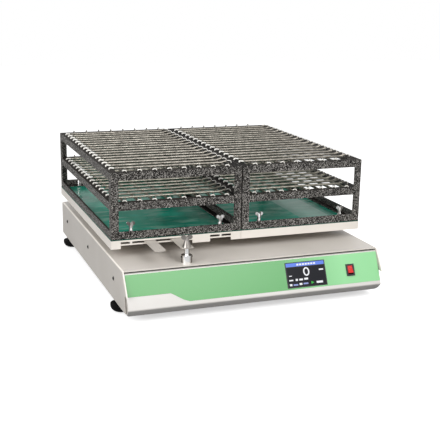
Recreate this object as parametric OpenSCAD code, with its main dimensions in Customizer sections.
// Orbital shaker with two spring-wire flask racks, standing on its feet.
// +X is to the user's right, +Y is towards the back and +Z is up.
// The origin is on the bench, below the middle of the whole machine.
// The crank pin rests at the front of its orbit.

/* [Base housing] */
// Width across the cover's two sides
base_w = 610; // [560:1:660]
// Depth of the cover's top, front lip to back
base_d = 658; // [630:1:690]
// Distance of the cover's middle behind the origin
base_y = 15; // [5:1:25]
// Height of the pan's underside above the bench
foot_h = 18.5; // [14:0.5:26]
// Height from the pan's underside to the cover's top
base_h = 95.5; // [94:0.5:110]
// Thickness of the cover, pan and panel sheets
sheet_t = 1.5; // [1:0.1:2]
// Height of the cover's side edges above the pan's underside
side_lift = 7.5; // [4:0.5:12]
// Width of the bevel along the pan's long edges
pan_bevel = 10; // [7:0.5:14]
// Thickness of the folded hem along the cover's front edges
hem_t = 3; // [2.5:0.1:4]
// Depth of that hem behind the edge
hem_d = 9; // [6:0.5:14]
// How far the side edges reach forward of the top's lip
lip_reach = 33; // [28:0.5:38]
// How far the side edges reach down from the cover's top
lip_drop = 49; // [42:0.5:56]

/* [Front panel] */
// Lean of the front panel from upright, in degrees
panel_tilt = 25; // [20:0.5:28]
// Height of the panel's face along its slope
panel_h = 76; // [74:0.5:80]
// Gap between the panel and the cover's front lip
panel_gap = 2; // [1:0.1:3]
// Radius of the rounded nose under the panel
nose_r = 4; // [2.5:0.5:6]
// Height of the printed film
film_h = 70; // [69:0.5:72]
// Thickness of the printed film
film_t = 0.4; // [0.2:0.1:0.8]
// Height of the bare notch at the film's lower left
notch_h = 21; // [10:0.5:30]
// Width of the bare notch at the film's lower left
notch_w = 96; // [40:1:160]

/* [Display and switch] */
// Width of the display window
display_w = 99.5; // [90:0.5:110]
// Height of the display window
display_h = 58; // [50:0.5:60]
// Distance of the display's middle from the housing's right side
display_inset = 189; // [165:1:225]
// Distance of the display's top below the panel's top
display_drop = 9; // [6:0.5:10]
// Thickness of the display module behind its window
display_t = 9; // [6:0.5:14]
// Width of the rocker switch's bezel
switch_w = 20.5; // [18:0.5:26]
// Height of the rocker switch's bezel
switch_h = 27.5; // [25:0.5:32]
// Distance of the switch's middle from the housing's right side
switch_inset = 77.5; // [55:0.5:105]
// Distance of the switch's middle below the panel's top
switch_drop = 39; // [34:0.5:44]
// Rocking angle of the switch, in degrees
rocker_throw = 18; // [12:1:22]

/* [Electronics] */
// Width of the control board
board_w = 180; // [140:5:200]
// Depth of the control board
board_d = 90; // [60:5:100]
// Distance of the control board's middle left of the display's
board_shift = 66; // [50:1:80]
// Width of the power supply
supply_w = 100; // [80:5:110]
// Depth of the power supply
supply_d = 130; // [110:5:160]
// Height of the power supply
supply_h = 38; // [28:1:40]
// Distance of the power supply from the housing's left side
supply_inset = 65; // [60:1:75]
// Distance of the electronics behind the panel
electronics_back = 60; // [50:1:70]

/* [Feet and fasteners] */
// Largest radius of a rubber foot
foot_r = 24.5; // [20:0.5:27]
// Distance of a foot's middle from the cover's side
foot_inset = 16; // [16:0.5:30]
// Place of the front feet behind the cover's front lip
front_foot = 73; // [50:1:100]
// Distance of the back feet from the cover's back
back_foot = 54; // [45:1:100]
// Radius of the side screws' heads
side_screw_r = 4.2; // [3:0.1:4.5]
// Depth of the side screws below the cover's top
side_screw_drop = 40; // [35:0.5:50]
// Place of the front side screw behind the cover's front lip
side_screw_y0 = 78; // [60:1:100]
// Distance of the back side screw from the cover's back
side_screw_back = 70; // [60:1:100]

/* [Drive] */
// Radius of the orbit
orbit_r = 12.5; // [8:0.5:14]
// Place of the crankshaft's axis behind the origin
drive_y = 76; // [66:1:86]
// Thickness of the drive deck
deck_t = 6; // [5:0.5:7]
// Depth of the deck's top below the cover's top
deck_drop = 24; // [23.5:0.5:26]
// Radius of the crankshaft
shaft_r = 10; // [8:0.5:11]
// Radius of the crank pin
crank_pin_r = 8; // [6:0.5:9]
// Thickness of the crank disc
crank_disc_t = 6; // [5:0.5:7]
// Radius of the drive pulley
drive_pulley_r = 60; // [50:1:66]
// Radius of the motor pulley
motor_pulley_r = 15; // [12:0.5:20]
// Distance from the crankshaft to the motor
motor_dist = 150; // [140:1:160]
// Radius of the motor's case
motor_r = 40; // [30:1:44]
// Height of the motor's case
motor_h = 44; // [35:1:46]
// Height of the belt
belt_h = 8; // [6:0.5:9]
// Thickness of the belt
belt_t = 2.5; // [2:0.5:4]
// Radius of the balance weight
weight_r = 70; // [60:1:75]
// Thickness of the balance weight
weight_t = 14; // [8:1:15]
// Radius of the idler crank's shaft and pin
idler_r = 6; // [5:0.5:7]
// Distance of the idler cranks left and right of the crankshaft
idler_x = 190; // [170:1:198]
// Distance of the idler cranks before and behind the crankshaft
idler_y = 140; // [125:1:145]

/* [Carriage] */
// Gap between the cover's top and the crank disc
disc_gap = 2; // [1.5:0.5:4]
// Thickness of the carriage plate
carriage_t = 4; // [3:0.5:5]
// Width of the carriage plate
carriage_w = 470; // [465:1:500]
// Depth of the carriage plate
carriage_d = 345; // [340:1:360]
// Distance of the slide rails left and right of the middle
rail_x = 120; // [90:1:140]
// Length of a slide rail
rail_len = 300; // [290:1:320]
// Width of a slide rail
rail_w = 15; // [12:0.5:18]
// Height of a slide rail
rail_h = 12; // [10:0.5:13]
// Width of a slide block
block_w = 34; // [30:1:40]
// Length of a slide block
block_len = 44; // [36:1:50]
// Distance of the slide blocks before and behind the middle
block_y = 100; // [90:1:105]
// Stroke of the slide each way
slide_stroke = 12.5; // [8:0.5:14]

/* [Platform] */
// Width of the platform
platform_w = 612; // [611:1:640]
// Depth of the platform
platform_d = 571; // [560:1:590]
// Place of the platform's middle behind the origin
platform_y = 63.5; // [53.5:1:73.5]
// Gap between the cover's top and the platform's skirt
platform_gap = 21; // [20.5:0.5:24]
// Height of the platform's skirt
skirt_h = 19; // [16:0.5:19]
// Thickness of the platform's sheet
platform_t = 2; // [1.5:0.1:2.5]
// Thickness of the rubber mat
mat_t = 2.5; // [2:0.5:4]
// Height of the slots in the front skirt
slot_h = 5; // [4:0.1:5.6]
// Depth of the slots' top below the platform's top
slot_drop = 3.8; // [3.4:0.1:4.4]
// Height of the strip below the slots
slot_strip = 2.8; // [2:0.1:4]

/* [Lock arm and tab] */
// Thickness of the lock arm and the orbit tab
arm_t = 2.2; // [1.6:0.1:2.4]
// Width of the lock arm
arm_w = 28; // [22:0.5:30]
// Width of the orbit tab
tab_w = 25; // [20:0.5:28]
// Distance of the lock arm from the platform's left side
arm_inset = 151; // [146:1:156]
// Distance of the orbit tab from the platform's left side
tab_inset = 88.5; // [88:0.5:93]
// Reach of the orbit tab in front of the platform
tab_reach = 84; // [70:1:88]
// Distance of the post behind the cover's front lip
post_setback = 22; // [18:0.5:30]
// Radius of the post
post_r = 6; // [5:0.5:8]
// Radius of the post's socket
socket_r = 12; // [10:0.5:14]
// Height of the post's socket
socket_h = 17; // [10:0.5:20]
// Radius of the threaded stems of the wing screws
stem_r = 3; // [2.5:0.1:3.5]

/* [Flask racks] */
// Distance of the racks' outer sides inside the platform's edges
rack_inset = 1; // [0.5:0.5:4]
// Gap between the two racks
rack_gap = 3; // [2:0.5:6]
// Height of a rack
rack_h = 148.5; // [130:0.5:180]
// Height of the middle tier's top above the rack's foot
tier_h = 81.5; // [65:0.5:90]
// Leg width of the angle iron
angle_w = 17; // [15:0.5:19]
// Thickness of the angle iron
angle_t = 2.5; // [2:0.1:3]
// Number of springs that run left to right
cross_springs = 16; // [8:1:16]
// Distance of the first of them from the rack's front
cross_first = 46; // [40:0.5:50]
// Distance of the last of them from the rack's back
cross_last = 42; // [38:0.5:50]
// Number of springs that run front to back
long_springs = 8; // [4:1:8]
// Distance of the first of them from the rack's left side
long_first = 36; // [32:0.5:38]
// Distance of the last of them from the rack's right side
long_last = 28.8; // [28:0.1:34]
// Radius of a spring's coil
coil_r = 2.5; // [2:0.1:2.6]
// Radius of the spring wire's hooks
wire_r = 0.8; // [0.6:0.1:1]
// Length of the raised right end of the springs that run left to right
rise_len = 43; // [36:1:48]
// Height of that raised end
rise_h = 4; // [2:0.5:5]
// Distance of a rack bolt from the rack's side
bolt_inset = 46.5; // [42:0.5:55]
// Span of a rack bolt's wings
rack_wing_w = 19; // [16:0.5:22]
// Height of a rack bolt's head
rack_wing_h = 34; // [28:0.5:38]
// Span of the post screw's wings
post_wing_w = 25; // [20:0.5:30]
// Height of the post screw's head
post_wing_h = 27; // [22:0.5:32]

/* [Hidden] */

// Clearances
seat_gap = 0.02;
run_gap = 0.04;
slide_gap = 0.2;
loose_gap = 0.3;
over = 1;

// Colours
steel = [0.77, 0.74, 0.70];
chrome = [0.86, 0.86, 0.87];
cream = [0.93, 0.90, 0.86];
paint = [0.25, 0.25, 0.25];
dark = [0.08, 0.08, 0.08];
zinc = [0.62, 0.63, 0.64];

// Levels and edges of the base
base_top = foot_h + base_h;
side_bottom = foot_h + side_lift;
front_y = base_y - base_d / 2;
back_y = base_y + base_d / 2;
inner_x = base_w / 2 - sheet_t;
lip_y = front_y - lip_reach;
lip_z = base_top - lip_drop;
notch_y = lip_y + 17;
corner_y = lip_y + 11;
floor_z = foot_h + sheet_t;
panel_top_y = front_y - panel_gap;
panel_top_z = base_top - hem_t - 2 * panel_gap;
panel_half = base_w / 2 - hem_t;
display_x = base_w / 2 - display_inset;
switch_x = base_w / 2 - switch_inset;
nose_y = panel_top_y - panel_h * sin(panel_tilt);
nose_z = panel_top_z - panel_h * cos(panel_tilt);
chin_y = nose_y + 16;
chin_back = 14;
chin_cut = 5;
pan_half = inner_x - seat_gap;
pan_front = chin_y + chin_back;
pan_back = back_y - sheet_t - seat_gap;
flange_h = base_h - side_screw_drop + 9;
foot_x = base_w / 2 - foot_inset;
foot_round = 14;
foot_recess = 8;
foot_head_r = 4.5;
foot_head_h = 3;
foot_stem_r = 2;
foot_nut_w = 7;
screw_r = 2;
foot_places = [for (x = [-foot_x, foot_x], y = [front_y + front_foot, back_y - back_foot]) [x, y]];
side_screw_z = base_top - side_screw_drop;
side_screw_first = front_y + side_screw_y0;
side_screw_last = back_y - side_screw_back;
side_screw_ys = [side_screw_first, (side_screw_first + side_screw_last) / 2, side_screw_last];

// Levels of the drive, from the deck up
deck_top = base_top - deck_drop;
deck_low = deck_top - deck_t;
housing_h = deck_drop - sheet_t - 2;
bearing_wall = 11;
crank_bearing_r = shaft_r + bearing_wall;
idler_bearing_r = idler_r + 4;
bearing_h = 8;
disc_low = base_top + disc_gap;
disc_top = disc_low + crank_disc_t;
disc_r = max(orbit_r + crank_pin_r + 4, shaft_r + 8);
idler_disc_r = orbit_r + idler_r + 3;
pulley_h = belt_h + 2;
pulley_z = deck_low - 2 - pulley_h;
weight_z = pulley_z - 1 - weight_t;
motor_y = drive_y - motor_dist;
motor_z = floor_z;
motor_shaft_r = 5;
deck_w = 2 * idler_x + 90;
deck_front = motor_y - motor_pulley_r - 30;
deck_back = drive_y + idler_y + 30;
pillar_r = 8;
pillar_x = deck_w / 2 - 15;
pillar_places = [
    for (x = [-pillar_x, pillar_x], y = [deck_front + 20, (deck_front + deck_back) / 2, deck_back - 15])
        [x, y]
];
idler_places = [for (x = [-idler_x, idler_x], y = [-idler_y, idler_y]) [x, drive_y + y]];

// Levels of the carriage and the platform
pin_y = drive_y - orbit_r;
hub_low = disc_top + 1;
carriage_z = hub_low + 2;
carriage_top = carriage_z + carriage_t;
hub_h = carriage_t + 6;
pin_top = hub_low + hub_h + 1;
carriage_bearing_r = crank_pin_r + 9;
idler_pin_bearing_r = idler_r + 6;
skirt_z = base_top + platform_gap;
platform_top = skirt_z + skirt_h;
tray_low = platform_top - platform_t;
rail_top = carriage_top + rail_h;
block_low = carriage_top + rail_h / 3;
platform_front = platform_y - platform_d / 2;
platform_back = platform_y + platform_d / 2;
mat_edge = 0.5;
mat_top = platform_top + mat_t;
slot_top = platform_top - slot_drop;
slot_low = slot_top - slot_h;
strip_low = slot_low - slot_strip;
arm_top = slot_top - (slot_h - arm_t) / 2;
arm_low = arm_top - arm_t;
post_y = front_y + post_setback;
arm_tip = 9;
arm_back = 138;
guide_w = 8;
guide_len = 24;
tab_foot_y = platform_y - carriage_d / 2 + 6;
post_bore_d = 14;
grub_r = 2;
grub_z = base_top + socket_h - 4;

// Windows and low cuts in the left half of the platform's front skirt, as [left, right]
corner_w = 22;
strut_w = 4;
stop_w = 42;
small_window_w = 23.5;
seam_w = 0.8;
arm_x = platform_w / 2 - arm_inset;
tab_x = platform_w / 2 - tab_inset;
tab_window = [-tab_x - tab_w / 2 - orbit_r - 16, -arm_x + arm_w / 2 + orbit_r + 11];
left_window = [-platform_w / 2 + corner_w, tab_window[0] - strut_w];
mid_window = [tab_window[1] + stop_w, tab_window[1] + stop_w + small_window_w];
right_window = [mid_window[1] + strut_w, mid_window[1] + strut_w + small_window_w];
front_windows = [left_window, tab_window, mid_window, right_window];
low_cuts = [[left_window[0], tab_window[1]], [mid_window[0], right_window[1]]];

// Levels and places of the racks
rack_z = mat_top;
rack_top = rack_z + rack_h;
tier_top = rack_z + tier_h;
rack_w = (platform_w - rack_gap) / 2 - rack_inset;
left_rack_x = -rack_gap / 2 - rack_w;
right_rack_x = rack_gap / 2;
rack_y = platform_front;
rack_back = platform_back;
cross_pitch = (rack_back - rack_y - cross_first - cross_last) / (cross_springs - 1);
long_pitch = (rack_w - long_first - long_last) / (long_springs - 1);
cross_ys = [for (i = [0:cross_springs - 1]) rack_y + cross_first + i * cross_pitch];
long_xs = [for (i = [0:long_springs - 1]) long_first + i * long_pitch];
hook_inset = angle_w / 2;
hook_drop = angle_t + 3;
coil_end = angle_w + 4;
riser_in = angle_w + 3;
wire_lift = wire_r + 0.4;
hook_r = wire_r + 0.1;
hole_r = wire_r + 0.6;
long_drop = 2 * coil_r + loose_gap - wire_lift;
bolt_in_y = angle_w / 2 + 2;
nut_r = 7;
nut_h = 5;
bolt_hole_r = stem_r + 0.6;
ear_t = 3.5;
bolt_places = [
    for (x0 = [left_rack_x, right_rack_x], y = [rack_y + bolt_in_y, rack_back - bolt_in_y],
        x = [bolt_inset, rack_w - bolt_inset])
        [x0 + x, y]
];

// Sheet that follows a line of [y, z] points, with its outside on the left of the line
function turned(a, b) = let (d = b - a) [d[1], -d[0]] / norm(d);
function mitre(p, q, r) = let (m = turned(p, q) + turned(q, r)) m * 2 / (m * m);
function offset_line(pts, t) = [
    for (i = [0:len(pts) - 1])
        pts[i] + t * (i == 0 ? turned(pts[0], pts[1])
            : i == len(pts) - 1 ? turned(pts[i - 1], pts[i])
            : mitre(pts[i - 1], pts[i], pts[i + 1]))
];
function backwards(pts) = [for (i = [len(pts) - 1:-1:0]) pts[i]];
function arc(c, r, a0, a1, n) = [
    for (i = [0:n]) let (a = a0 + (a1 - a0) * i / n) c + r * [cos(a), sin(a)]
];
function rounded(x0, y0, x1, y1, r) = concat(
    arc([x1 - r, y1 - r], r, 0, 90, 6),
    arc([x0 + r, y1 - r], r, 90, 180, 6),
    arc([x0 + r, y0 + r], r, 180, 270, 6),
    arc([x1 - r, y0 + r], r, 270, 360, 6)
);

// Outline in the Y-Z plane, drawn out along X from x0 to x1
module along_x(x0, x1) {
    translate([x0, 0, 0])
        rotate([90, 0, 90])
            linear_extrude(x1 - x0)
                children();
}

// Outline in the X-Z plane, drawn out along Y from y0 to y1
module along_y(y0, y1) {
    translate([0, y1, 0])
        rotate([90, 0, 0])
            linear_extrude(y1 - y0)
                children();
}

// Panel frame: X across, Y up the slope from the panel's top edge, Z out of its face
module on_panel(x, v) {
    translate([x, panel_top_y, panel_top_z])
        rotate([90 - panel_tilt, 0, 0])
            translate([0, v, 0])
                children();
}

// Box from one corner to the other
module block(low, high) {
    translate(low)
        cube(high - low);
}

module tube(r_out, r_in, h) {
    difference() {
        cylinder(r = r_out, h = h, $fn = 64);
        translate([0, 0, -over])
            cylinder(r = r_in, h = h + 2 * over, $fn = 64);
    }
}

// Base housing
pan_side = [
    [pan_half, foot_h + flange_h],
    [pan_half, foot_h + pan_bevel],
    [pan_half - pan_bevel, foot_h],
    [0, foot_h]
];

module pan_outline() {
    half = offset_line(pan_side, sheet_t);
    right = concat(pan_side, backwards(half));
    polygon(right);
    mirror([1, 0])
        polygon(right);
}

module side_screw_holes() {
    for (y = side_screw_ys)
        translate([0, y, side_screw_z])
            rotate([0, 90, 0])
                cylinder(r = screw_r + slide_gap, h = base_w + 2 * over, center = true, $fn = 24);
}

module base_pan() {
    color(steel)
        difference() {
            union() {
                along_y(pan_front, pan_back)
                    pan_outline();
                block([-pan_half + pan_bevel, pan_back - sheet_t, foot_h],
                    [pan_half - pan_bevel, pan_back, foot_h + 20]);
            }
            for (p = foot_places)
                translate([p[0], p[1], foot_h - over])
                    cylinder(r = foot_stem_r + loose_gap, h = sheet_t + 2 * over, $fn = 24);
            side_screw_holes();
        }
}

module cover_side() {
    polygon([
        [back_y, base_top],
        [front_y, base_top],
        [lip_y, lip_z],
        [notch_y, lip_z],
        [corner_y, side_bottom],
        [back_y, side_bottom]
    ]);
}

module hem_line() {
    polygon([
        [front_y, base_top],
        [lip_y, lip_z],
        [lip_y + hem_d, lip_z],
        [front_y + hem_d, base_top]
    ]);
}

module base_cover() {
    color(steel)
        difference() {
            union() {
                block([-base_w / 2, front_y, base_top - sheet_t], [base_w / 2, back_y, base_top]);
                block([-base_w / 2, front_y, base_top - hem_t], [base_w / 2, front_y + hem_d, base_top]);
                for (s = [0, 1])
                    mirror([s, 0, 0]) {
                        along_x(inner_x, base_w / 2)
                            cover_side();
                        along_x(base_w / 2 - hem_t, base_w / 2)
                            hem_line();
                    }
            }
            translate([0, drive_y, base_top - hem_t])
                cylinder(r = shaft_r + 6, h = 2 * hem_t, $fn = 48);
            for (p = idler_places)
                translate([p[0], p[1], base_top - hem_t])
                    cylinder(r = idler_r + 4, h = 2 * hem_t, $fn = 48);
            translate([-arm_x, post_y, base_top - hem_t])
                cylinder(r = post_r + seat_gap, h = 2 * hem_t, $fn = 48);
            side_screw_holes();
        }
}

rear_low = floor_z + 22;
inlet_x = 105 - base_w / 2;
inlet_z = (rear_low + base_top) / 2;
inlet_w = 28;
inlet_h = 20;
inlet_d = 20;
inlet_lip = 3;
inlet_wall = 2.2;
inlet_plate_w = 90;
inlet_floor = 4;
inlet_ear = 9;
inlet_rim = 2;
vent_left = base_w / 2 - 245;
vent_count = 12;
vent_pitch = 12;
vent_w = 5;
vent_h = 32;

module back_sheet(x0, x1) {
    block([x0, pan_back, foot_h + pan_bevel], [x1, back_y, base_top - sheet_t - seat_gap]);
}

module rear_panel() {
    color(steel)
        difference() {
            back_sheet(inlet_x + inlet_plate_w / 2, pan_half);
            for (i = [0:vent_count - 1])
                translate([vent_left + i * vent_pitch, pan_back - over, inlet_z - vent_h / 2])
                    cube([vent_w, sheet_t + 2 * over + seat_gap, vent_h]);
        }
}

module inlet_plate() {
    color(steel)
        difference() {
            back_sheet(-pan_half, inlet_x + inlet_plate_w / 2 - seat_gap);
            block([inlet_x - inlet_w / 2, pan_back - over, inlet_z - inlet_h / 2],
                [inlet_x + inlet_w / 2, back_y + over, inlet_z + inlet_h / 2]);
        }
}

panel_line = concat(
    [
        [panel_top_y + 10, panel_top_z],
        [panel_top_y, panel_top_z]
    ],
    arc([nose_y + nose_r * cos(panel_tilt), nose_z - nose_r * sin(panel_tilt)], nose_r,
        180 - panel_tilt, 220, 5),
    [
        [chin_y, foot_h],
        [pan_front, foot_h]
    ]
);

module panel_end() {
    polygon(concat(panel_line, [[pan_front, foot_h + pan_bevel], [panel_top_y + 10, lip_z]]));
}

module front_panel() {
    color(cream)
        difference() {
            union() {
                along_x(-panel_half, panel_half)
                    polygon(concat(panel_line, backwards(offset_line(panel_line, -sheet_t))));
                for (s = [0, 1])
                    mirror([s, 0, 0])
                        along_x(panel_half - sheet_t, panel_half)
                            intersection() {
                                panel_end();
                                translate([lip_y - 20, 0])
                                    square([chin_y + chin_back - lip_y + 19, lip_z]);
                            }
            }
            on_panel(display_x, -display_drop - display_h / 2)
                cube([display_w, display_h, 20], center = true);
            on_panel(switch_x, -switch_drop)
                cube([switch_w - 4, switch_h - 3, 20], center = true);
            for (s = [0, 1])
                mirror([s, 0, 0])
                    along_y(lip_y - lip_reach, pan_front + over)
                        polygon([
                            [panel_half - chin_cut - over, foot_h - over],
                            [panel_half + base_h, foot_h - over],
                            [panel_half + base_h, foot_h + chin_cut + base_h]
                        ]);
        }
}

film_half = panel_half - 1;
film_top = 1.5;

module panel_film() {
    color([0.58, 0.85, 0.60])
        difference() {
            on_panel(0, 0)
                linear_extrude(film_t)
                    polygon([
                        [-film_half, -film_top],
                        [-film_half, notch_h - film_h],
                        [notch_w - film_half, notch_h - film_h],
                        [notch_w + 28 - film_half, 4 - film_h],
                        [notch_w + 40 - film_half, -film_h],
                        [film_half, -film_h],
                        [film_half, -film_top]
                    ]);
            on_panel(display_x, -display_drop - display_h / 2)
                cube([display_w, display_h, 20], center = true);
            on_panel(switch_x, -switch_drop)
                cube([switch_w - 4, switch_h - 3, 20], center = true);
        }
}

// Display and switch
window_t = sheet_t + film_t;

module display_window() {
    color(dark)
        on_panel(display_x, -display_drop - display_h / 2)
            translate([0, 0, film_t - window_t / 2])
                cube([display_w - seat_gap, display_h - seat_gap, window_t], center = true);
}

module display_module() {
    color(zinc)
        on_panel(display_x, -display_drop - display_h / 2)
            translate([0, 0, -sheet_t - seat_gap - display_t / 2])
                cube([display_w + 6, display_h + 5, display_t], center = true);
}

housing_d = 20;
rocker_w = switch_w - 8.5;
rocker_h = switch_h - 9.5;
rocker_room = 2.5;
rocker_pin_r = 1.5;
rocker_pivot = -5;
rocker_face = 2.2;

module switch_housing() {
    color(dark)
        on_panel(switch_x, -switch_drop)
            difference() {
                union() {
                    translate([0, 0, film_t + seat_gap + 1])
                        cube([switch_w, switch_h, 2], center = true);
                    translate([0, 0, film_t + seat_gap - housing_d / 2])
                        cube([switch_w - 4 - 2 * seat_gap, switch_h - 3 - 2 * seat_gap, housing_d], center = true);
                }
                cube([rocker_w + 1, rocker_h + rocker_room, 28], center = true);
                translate([0, 0, rocker_pivot])
                    rotate([0, 90, 0])
                        cylinder(r = rocker_pin_r + run_gap, h = switch_w, center = true, $fn = 32);
            }
}

rocker_line = [
    [-rocker_h / 2 + 1, rocker_pivot - 3],
    [rocker_h / 2 - 1, rocker_pivot - 3],
    [rocker_h / 2 - 0.4, rocker_face + 1.2],
    [0, rocker_face],
    [-rocker_h / 2 + 0.4, rocker_face + 1.2]
];

module power_rocker() {
    color([0.85, 0.16, 0.12])
        on_panel(switch_x, -switch_drop)
            translate([0, 0, rocker_pivot])
                rotate([-rocker_throw / 2, 0, 0]) {
                    translate([-rocker_w / 2, 0, -rocker_pivot])
                        rotate([90, 0, 90])
                            linear_extrude(rocker_w)
                                polygon(rocker_line);
                    rotate([0, 90, 0])
                        cylinder(r = rocker_pin_r, h = rocker_w + 3.4, center = true, $fn = 32);
                }
}

// Electronics
board_t = 1.6;
board_lift = 8;
standoff_r = 3;
standoff_in = 4;
chip_x = 40;
chip_y = 20;
chip_w = 24;
chip_h = 4;
terminal_x = 110;
terminal_d = 40;
terminal_h = 12;
board_left = display_x - board_shift - board_w / 2;
electronics_y = front_y + electronics_back;

// A component on the board: its left and front distances in the board, and its size
module board_chip(place, size) {
    translate([board_left + place[0], electronics_y + place[1], floor_z + board_lift + board_t - over])
        cube([size[0], size[1], size[2] + over]);
}

module control_board() {
    color([0.10, 0.35, 0.18])
        union() {
            block([board_left, electronics_y, floor_z + board_lift],
                [board_left + board_w, electronics_y + board_d, floor_z + board_lift + board_t]);
            for (x = [standoff_in, board_w - standoff_in], y = [standoff_in, board_d - standoff_in])
                translate([board_left + x, electronics_y + y, floor_z])
                    cylinder(r = standoff_r, h = board_lift + over, $fn = 24);
            board_chip([chip_x, chip_y], [chip_w, chip_w, chip_h]);
            board_chip([terminal_x, chip_y], [chip_w, terminal_d, terminal_h]);
        }
}

module power_supply() {
    color(zinc)
        translate([-base_w / 2 + supply_inset, electronics_y, floor_z])
            cube([supply_w, supply_d, supply_h]);
}

// Block round the inlet's axis: half its width, half its height, its front and its back
module inlet_block(half_w, half_h, y0, y1) {
    block([inlet_x - half_w, y0, inlet_z - half_h], [inlet_x + half_w, y1, inlet_z + half_h]);
}

module power_inlet() {
    color(dark)
        difference() {
            union() {
                inlet_block(inlet_w / 2 - seat_gap, inlet_h / 2 - seat_gap, pan_back - inlet_d, back_y + inlet_lip);
                inlet_block(inlet_w / 2 + inlet_ear, inlet_h / 2 + inlet_rim, back_y, back_y + inlet_lip);
            }
            inlet_block(inlet_w / 2 - inlet_wall, inlet_h / 2 - inlet_wall,
                back_y - inlet_d + inlet_floor, back_y + inlet_lip + over);
        }
}

// Feet and fasteners
module rubber_feet() {
    color(dark)
        for (p = foot_places)
            translate([p[0], p[1], 0])
                difference() {
                    rotate_extrude($fn = 64)
                        polygon(concat(
                            [[0, 0], [foot_r - foot_round, 0]],
                            arc([foot_r - foot_round, foot_round], foot_round, -80, 0, 7),
                            [[foot_r, foot_h], [0, foot_h]]
                        ));
                    translate([0, 0, -over])
                        cylinder(r = foot_head_r + 0.5, h = foot_recess + over, $fn = 32);
                    cylinder(r = foot_stem_r + seat_gap, h = foot_h + over, $fn = 24);
                }
}

module foot_screws() {
    color(zinc)
        for (p = foot_places)
            translate([p[0], p[1], 0]) {
                translate([0, 0, foot_recess - foot_head_h])
                    cylinder(r = foot_head_r, h = foot_head_h, $fn = 32);
                translate([0, 0, foot_recess - over])
                    cylinder(r = foot_stem_r, h = floor_z + 4 - foot_recess + over, $fn = 24);
                translate([0, 0, floor_z])
                    rotate(30)
                        cylinder(r = foot_nut_w / 2 / cos(30), h = 3, $fn = 6);
            }
}

module cover_screws() {
    color(zinc)
        for (s = [0, 1], y = side_screw_ys)
            mirror([s, 0, 0])
                translate([base_w / 2, y, side_screw_z])
                    rotate([0, 90, 0]) {
                        cylinder(r1 = side_screw_r, r2 = side_screw_r * 0.7, h = 1.8, $fn = 32);
                        translate([0, 0, -10])
                            cylinder(r = screw_r, h = 11, $fn = 24);
                    }
}

// Drive
module at(p, z) {
    translate([p[0], p[1], z])
        children();
}

module drive_deck() {
    color(zinc)
        difference() {
            block([-deck_w / 2, deck_front, deck_low], [deck_w / 2, deck_back, deck_top]);
            at([0, drive_y], deck_low - over)
                cylinder(r = shaft_r + 2, h = deck_t + 2 * over, $fn = 48);
            for (p = idler_places)
                at(p, deck_low - over)
                    cylinder(r = idler_r + 1.5, h = deck_t + 2 * over, $fn = 48);
        }
}

module deck_pillars() {
    color(zinc)
        for (p = pillar_places)
            at(p, floor_z)
                cylinder(r = pillar_r, h = deck_low - foot_h - sheet_t, $fn = 32);
}

module housing(bearing_r, wall, flange_w, flange_t) {
    difference() {
        union() {
            cylinder(r = bearing_r + wall + flange_w, h = flange_t, $fn = 64);
            cylinder(r = bearing_r + wall, h = housing_h, $fn = 64);
        }
        translate([0, 0, -over])
            cylinder(r = bearing_r + seat_gap, h = housing_h + 2 * over, $fn = 64);
    }
}

module crank_housing() {
    color(zinc)
        at([0, drive_y], deck_top)
            housing(crank_bearing_r, 5, 12, 4);
}

module crank_bearings() {
    color(chrome)
        for (z = [deck_top, deck_top + housing_h - bearing_h])
            at([0, drive_y], z)
                tube(crank_bearing_r, shaft_r + run_gap, bearing_h);
}

module idler_housings() {
    color(zinc)
        for (p = idler_places)
            at(p, deck_top)
                housing(idler_bearing_r, 4, 6, 3);
}

module idler_bearings() {
    color(chrome)
        for (p = idler_places, z = [deck_top, deck_top + housing_h - bearing_h])
            at(p, z)
                tube(idler_bearing_r, idler_r + run_gap, bearing_h);
}

motor_place = [0, motor_y];
motor_foot_t = 3;
motor_bore_d = 14;

module drive_motor() {
    color(dark)
        difference() {
            union() {
                at(motor_place, motor_z)
                    cylinder(r = motor_r, h = motor_h, $fn = 64);
                block([-motor_r, motor_y - motor_r - 8, motor_z],
                    [motor_r, motor_y + motor_r + 8, motor_z + motor_foot_t]);
            }
            at(motor_place, motor_z + motor_h - motor_bore_d)
                cylinder(r = motor_shaft_r + run_gap, h = motor_bore_d + over, $fn = 32);
        }
}

module motor_pulley() {
    color(zinc)
        union() {
            at(motor_place, pulley_z)
                cylinder(r = motor_pulley_r, h = pulley_h, $fn = 48);
            at(motor_place, motor_z + motor_h - motor_bore_d + over)
                cylinder(r = motor_shaft_r, h = pulley_z - motor_z - motor_h + motor_bore_d, $fn = 32);
        }
}

// Closed line round both pulleys, at a distance from their rims
belt_lean = asin((drive_pulley_r - motor_pulley_r) / motor_dist);
function belt_line(grow) = concat(
    arc([0, drive_y], drive_pulley_r + grow, -belt_lean, 180 + belt_lean, 48),
    arc(motor_place, motor_pulley_r + grow, 180 + belt_lean, 360 - belt_lean, 16)
);

module drive_belt() {
    color(dark)
        translate([0, 0, pulley_z + (pulley_h - belt_h) / 2])
            difference() {
                linear_extrude(belt_h)
                    polygon(belt_line(loose_gap + belt_t));
                translate([0, 0, -over])
                    linear_extrude(belt_h + 2 * over)
                        polygon(belt_line(loose_gap));
            }
}

module drive_crank() {
    color(chrome)
        union() {
            at([0, drive_y], weight_z - 4)
                cylinder(r = shaft_r, h = disc_low - weight_z + 4, $fn = 48);
            at([0, drive_y], disc_low)
                cylinder(r = disc_r, h = crank_disc_t, $fn = 64);
            at([0, pin_y], disc_low + over)
                cylinder(r = crank_pin_r, h = pin_top - disc_low - over, $fn = 48);
        }
}

module drive_pulley() {
    color(zinc)
        at([0, drive_y], pulley_z)
            tube(drive_pulley_r, shaft_r + seat_gap, pulley_h);
}

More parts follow.
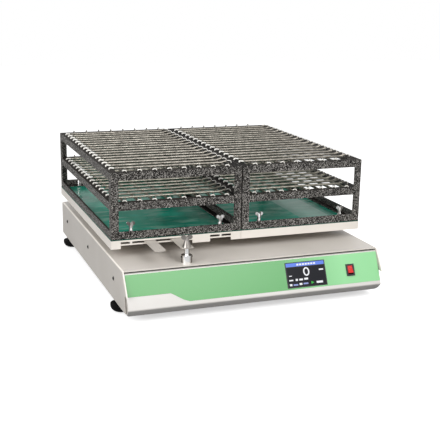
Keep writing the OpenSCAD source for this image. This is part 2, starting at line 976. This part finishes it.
module balance_weight() {
    color(zinc)
        at([0, drive_y], weight_z)
            difference() {
                union() {
                    difference() {
                        cylinder(r = weight_r, h = weight_t, $fn = 64);
                        translate([-weight_r - over, -weight_r - over, -over])
                            cube([2 * weight_r + 2 * over, weight_r + over, weight_t + 2 * over]);
                    }
                    cylinder(r = shaft_r + 8, h = weight_t, $fn = 48);
                }
                translate([0, 0, -over])
                    cylinder(r = shaft_r + seat_gap, h = weight_t + 2 * over, $fn = 48);
            }
}

module idler_crank(sx, sy) {
    p = [sx * idler_x, drive_y + sy * idler_y];
    color(chrome)
        union() {
            at(p, deck_low - 6)
                cylinder(r = idler_r, h = disc_low - deck_low + 6, $fn = 48);
            at(p, deck_low - 6)
                cylinder(r = idler_r + 3, h = 5, $fn = 48);
            at(p, disc_low)
                cylinder(r = idler_disc_r, h = crank_disc_t, $fn = 64);
            at(p - [0, orbit_r], disc_low + over)
                cylinder(r = idler_r, h = pin_top - disc_low - over, $fn = 48);
        }
}

// Carriage
module carriage_plate() {
    color(zinc)
        difference() {
            union() {
                block([-carriage_w / 2, platform_y - carriage_d / 2, carriage_z],
                    [carriage_w / 2, platform_y + carriage_d / 2, carriage_top]);
                at([0, pin_y], hub_low)
                    cylinder(r = carriage_bearing_r + 7, h = hub_h, $fn = 64);
                for (p = idler_places)
                    at(p - [0, orbit_r], hub_low)
                        cylinder(r = idler_pin_bearing_r + 4, h = hub_h, $fn = 64);
            }
            at([0, pin_y], hub_low - over)
                cylinder(r = carriage_bearing_r + seat_gap, h = hub_h + 2 * over, $fn = 64);
            for (p = idler_places)
                at(p - [0, orbit_r], hub_low - over)
                    cylinder(r = idler_pin_bearing_r + seat_gap, h = hub_h + 2 * over, $fn = 64);
        }
}

module carriage_bearings() {
    color(chrome) {
        at([0, pin_y], hub_low)
            tube(carriage_bearing_r, crank_pin_r + run_gap, hub_h);
        for (p = idler_places)
            at(p - [0, orbit_r], hub_low)
                tube(idler_pin_bearing_r, idler_r + run_gap, hub_h);
    }
}

module slide_rails() {
    color(chrome)
        for (x = [-rail_x, rail_x])
            block([x - rail_w / 2, platform_y - rail_len / 2, carriage_top],
                [x + rail_w / 2, platform_y + rail_len / 2, rail_top]);
}

tab_foot_len = 14;
tab_tip = platform_front - tab_reach;
tab_line = [
    [tab_tip, arm_top],
    [tab_foot_y, arm_top],
    [tab_foot_y, carriage_top + arm_t],
    [tab_foot_y + tab_foot_len, carriage_top + arm_t]
];

module orbit_tab() {
    color(cream)
        difference() {
            intersection() {
                along_x(-tab_x - tab_w / 2, -tab_x + tab_w / 2)
                    polygon(concat(tab_line, backwards(offset_line(tab_line, arm_t))));
                translate([0, 0, carriage_z])
                    linear_extrude(base_h)
                        polygon(rounded(-tab_x - tab_w / 2, tab_tip, -tab_x + tab_w / 2, drive_y, 8));
            }
            at([-tab_x, post_y + 4], arm_low - over)
                cylinder(r = stem_r + loose_gap, h = arm_t + 2 * over, $fn = 32);
        }
}

// Platform
module platform_tray() {
    color(cream)
        difference() {
            block([-platform_w / 2, platform_front, skirt_z], [platform_w / 2, platform_back, platform_top]);
            block([-platform_w / 2 + platform_t, platform_front + platform_t, skirt_z - over],
                [platform_w / 2 - platform_t, platform_back - platform_t, tray_low]);
            for (w = front_windows)
                block([w[0], platform_front - over, slot_low], [w[1], platform_front + platform_t + over, slot_top]);
            for (w = low_cuts)
                block([w[0], platform_front - over, skirt_z - over],
                    [w[1], platform_front + platform_t + over, strip_low]);
            block([-seam_w / 2, platform_front - over, skirt_z - over],
                [seam_w / 2, platform_front + platform_t + over, tray_low]);
            for (p = bolt_places)
                at(p, tray_low - over)
                    cylinder(r = bolt_hole_r, h = platform_t + 2 * over, $fn = 32);
        }
}

module slide_blocks() {
    color(zinc)
        for (x = [-rail_x, rail_x], y = [platform_y - block_y, platform_y + block_y])
            difference() {
                block([x - block_w / 2, y - block_len / 2, block_low], [x + block_w / 2, y + block_len / 2, tray_low]);
                block([x - rail_w / 2 - slide_gap, y - block_len / 2 - over, block_low - over],
                    [x + rail_w / 2 + slide_gap, y + block_len / 2 + over, rail_top + slide_gap]);
            }
}

module tray_nuts() {
    color(zinc)
        for (p = bolt_places)
            at(p, tray_low - nut_h)
                tube(nut_r, stem_r + run_gap, nut_h);
}

module platform_mat() {
    color([0.12, 0.34, 0.27])
        difference() {
            block([-platform_w / 2 + mat_edge, platform_front + mat_edge, platform_top],
                [platform_w / 2 - mat_edge, platform_back - mat_edge, mat_top]);
            for (p = bolt_places)
                at(p, platform_top - over)
                    cylinder(r = bolt_hole_r, h = mat_t + 2 * over, $fn = 32);
        }
}

// Flask racks
module tier_ring(x0, z) {
    difference() {
        block([x0, rack_y, z], [x0 + rack_w, rack_back, z + angle_t]);
        block([x0 + angle_w, rack_y + angle_w, z - over], [x0 + rack_w - angle_w, rack_back - angle_w, z + angle_t + over]);
    }
}

module rack_windows(x0, z0, z1) {
    block([x0 + angle_w, rack_y - over, z0], [x0 + rack_w - angle_w, rack_back + over, z1]);
    block([x0 - over, rack_y + angle_w, z0], [x0 + rack_w + over, rack_back - angle_w, z1]);
}

module hook_holes(x0, z) {
    for (y = cross_ys, x = [x0 + hook_inset, x0 + rack_w - hook_inset])
        at([x, y], z - angle_t - over)
            cylinder(r = hole_r, h = angle_t + 2 * over, $fn = 24);
    for (x = long_xs, y = [rack_y + hook_inset, rack_back - hook_inset])
        at([x0 + x, y], z - angle_t - over)
            cylinder(r = hole_r, h = angle_t + 2 * over, $fn = 24);
}

module rack_frame(x0) {
    color(paint)
        difference() {
            union() {
                difference() {
                    block([x0, rack_y, rack_z], [x0 + rack_w, rack_back, rack_top]);
                    block([x0 + angle_t, rack_y + angle_t, rack_z - over],
                        [x0 + rack_w - angle_t, rack_back - angle_t, rack_top + over]);
                    rack_windows(x0, rack_z + angle_w, tier_top - angle_w);
                    rack_windows(x0, tier_top, rack_top - angle_w);
                }
                for (z = [rack_z, tier_top - angle_t, rack_top - angle_t])
                    tier_ring(x0, z);
            }
            for (z = [tier_top, rack_top])
                hook_holes(x0, z);
            for (p = bolt_places)
                at(p, rack_z - over)
                    cylinder(r = bolt_hole_r, h = angle_t + 2 * over, $fn = 32);
        }
}

// Wire along X or Y, and the short upright ends that pass through the angle iron
module wire_x(x0, x1, y, z, r) {
    translate([x0, y, z])
        rotate([0, 90, 0])
            cylinder(r = r, h = x1 - x0, $fn = 24);
}

module wire_y(x, y0, y1, z, r) {
    translate([x, y1, z])
        rotate([90, 0, 0])
            cylinder(r = r, h = y1 - y0, $fn = 24);
}

// Rod in the XZ plane between two [x, z] points
module rod_xz(a, b, y, r) {
    translate([a[0], y, a[1]])
        rotate([0, 90 - atan2(b[1] - a[1], b[0] - a[0]), 0])
            cylinder(r = r, h = norm(b - a), $fn = 24);
}

module cross_spring(x0, y, z) {
    x1 = x0 + rack_w;
    rod_z = z + wire_lift;
    high_z = rod_z + rise_h;
    union() {
        wire_x(x0 + coil_end, x1 - rise_len, y, rod_z, coil_r);
        rod_xz([x1 - rise_len - over, rod_z], [x1 - coil_end, high_z], y, coil_r);
        wire_x(x0 + hook_inset, x0 + coil_end + over, y, rod_z, wire_r);
        wire_x(x1 - coil_end - over, x1 - hook_inset, y, high_z, wire_r);
        at([x0 + hook_inset, y], z - hook_drop)
            cylinder(r = hook_r, h = rod_z + hook_r - z + hook_drop, $fn = 24);
        at([x1 - hook_inset, y], z - hook_drop)
            cylinder(r = hook_r, h = high_z + hook_r - z + hook_drop, $fn = 24);
    }
}

// Raised hook of a long spring over the angle iron, between y0 and y1
module long_hook(x, y0, y1, z) {
    hook_z = z + wire_lift + rise_h;
    wire_y(x, y0, y1, hook_z, wire_r);
    for (y = [y0, y1])
        at([x, y], z - hook_drop)
            cylinder(r = hook_r, h = hook_z + hook_r - z + hook_drop, $fn = 24);
}

module long_spring(x, z) {
    union() {
        wire_y(x, rack_y + coil_end, rack_back - coil_end, z - long_drop, coil_r);
        wire_y(x, rack_y + riser_in, rack_back - riser_in, z - long_drop, wire_r);
        long_hook(x, rack_y + hook_inset, rack_y + riser_in, z);
        long_hook(x, rack_back - riser_in, rack_back - hook_inset, z);
    }
}

module tier_springs(x0, z, missing) {
    color(zinc) {
        for (y = cross_ys)
            cross_spring(x0, y, z);
        for (i = [0:long_springs - 1 - missing])
            long_spring(x0 + long_xs[i], z);
    }
}

// Thumb screw with two rounded wings, its head standing on z
module wing_screw(p, z, stem, wing_w, wing_h) {
    ear_r = wing_w * 0.2;
    neck_r = wing_w * 0.17;
    neck_z = wing_h * 0.6;
    color(chrome)
        at(p, z + seat_gap)
            union() {
                cylinder(r1 = wing_w * 0.4, r2 = neck_r, h = neck_z, $fn = 48);
                cylinder(r = neck_r, h = wing_h - ear_r, $fn = 48);
                translate([0, 0, -stem])
                    cylinder(r = stem_r, h = stem + over, $fn = 32);
                for (s = [0, 1])
                    mirror([s, 0, 0])
                        along_y(-ear_t / 2, ear_t / 2) {
                            translate([wing_w / 2 - ear_r, wing_h - ear_r])
                                circle(r = ear_r, $fn = 48);
                            polygon([
                                [0, neck_z],
                                [neck_r, neck_z],
                                [wing_w / 2 - ear_r, wing_h - 2 * ear_r],
                                [wing_w / 2 - ear_r, wing_h - ear_r * 0.1],
                                [0, wing_h - ear_r * 0.8]
                            ]);
                        }
            }
}

module rack_bolt(i) {
    wing_screw(bolt_places[i], rack_z + angle_t, angle_t + mat_t + platform_t + nut_h + 1, rack_wing_w, rack_wing_h);
}

// Lock post and arm
module lock_post() {
    color(chrome)
        difference() {
            at([-arm_x, post_y], base_top - 8)
                cylinder(r = post_r, h = arm_low - base_top + 8, $fn = 48);
            at([-arm_x, post_y], arm_low - post_bore_d)
                cylinder(r = stem_r + run_gap, h = post_bore_d + over, $fn = 32);
        }
}

module post_socket() {
    color(chrome)
        difference() {
            at([-arm_x, post_y], base_top)
                tube(socket_r, post_r + seat_gap, socket_h);
            translate([-arm_x, post_y, grub_z])
                rotate([0, 90, 0])
                    cylinder(r = grub_r + seat_gap, h = 2 * socket_r + 2 * over, center = true, $fn = 24);
        }
}

module socket_screws() {
    color(zinc)
        for (s = [-1, 1])
            translate([-arm_x + s * (post_r + 0.05), post_y, grub_z])
                rotate([0, s * 90, 0])
                    cylinder(r = grub_r, h = socket_r - post_r + 1, $fn = 24);
}

module lock_arm() {
    color(cream)
        difference() {
            translate([0, 0, arm_low])
                linear_extrude(arm_t)
                    polygon(rounded(-arm_x - arm_w / 2, post_y - arm_tip, -arm_x + arm_w / 2, post_y + arm_back, 4));
            at([-arm_x, post_y], arm_low - over)
                cylinder(r = stem_r + loose_gap, h = arm_t + 2 * over, $fn = 32);
            block([-arm_x - guide_w / 2, post_y + arm_back - guide_len, arm_low - over],
                [-arm_x + guide_w / 2, post_y + arm_back + over, arm_top + over]);
        }
}

module post_wing_screw() {
    wing_screw([-arm_x, post_y], arm_top, arm_t + post_bore_d - 2, post_wing_w, post_wing_h);
}

base_pan();
base_cover();
rear_panel();
inlet_plate();
front_panel();
panel_film();
display_module();
display_window();
switch_housing();
power_rocker();
control_board();
power_supply();
power_inlet();
rubber_feet();
foot_screws();
cover_screws();
drive_deck();
deck_pillars();
crank_housing();
crank_bearings();
idler_housings();
idler_bearings();
drive_motor();
motor_pulley();
drive_belt();
drive_crank();
drive_pulley();
balance_weight();
idler_crank(-1, -1);  // idler_crank_fl
idler_crank(1, -1);  // idler_crank_fr
idler_crank(-1, 1);  // idler_crank_bl
idler_crank(1, 1);  // idler_crank_br
carriage_plate();
carriage_bearings();
slide_rails();
orbit_tab();
platform_tray();
slide_blocks();
tray_nuts();
platform_mat();
rack_frame(left_rack_x);  // left_rack_frame
rack_frame(right_rack_x);  // right_rack_frame
tier_springs(left_rack_x, rack_top, 0);  // left_top_springs
tier_springs(left_rack_x, tier_top, 0);  // left_middle_springs
tier_springs(right_rack_x, rack_top, 1);  // right_top_springs
tier_springs(right_rack_x, tier_top, 0);  // right_middle_springs
lock_post();
post_socket();
socket_screws();
lock_arm();
post_wing_screw();
rack_bolt(0);  // left_rack_bolt_fl
rack_bolt(1);  // left_rack_bolt_fr
rack_bolt(2);  // left_rack_bolt_bl
rack_bolt(3);  // left_rack_bolt_br
rack_bolt(4);  // right_rack_bolt_fl
rack_bolt(5);  // right_rack_bolt_fr
rack_bolt(6);  // right_rack_bolt_bl
rack_bolt(7);  // right_rack_bolt_br
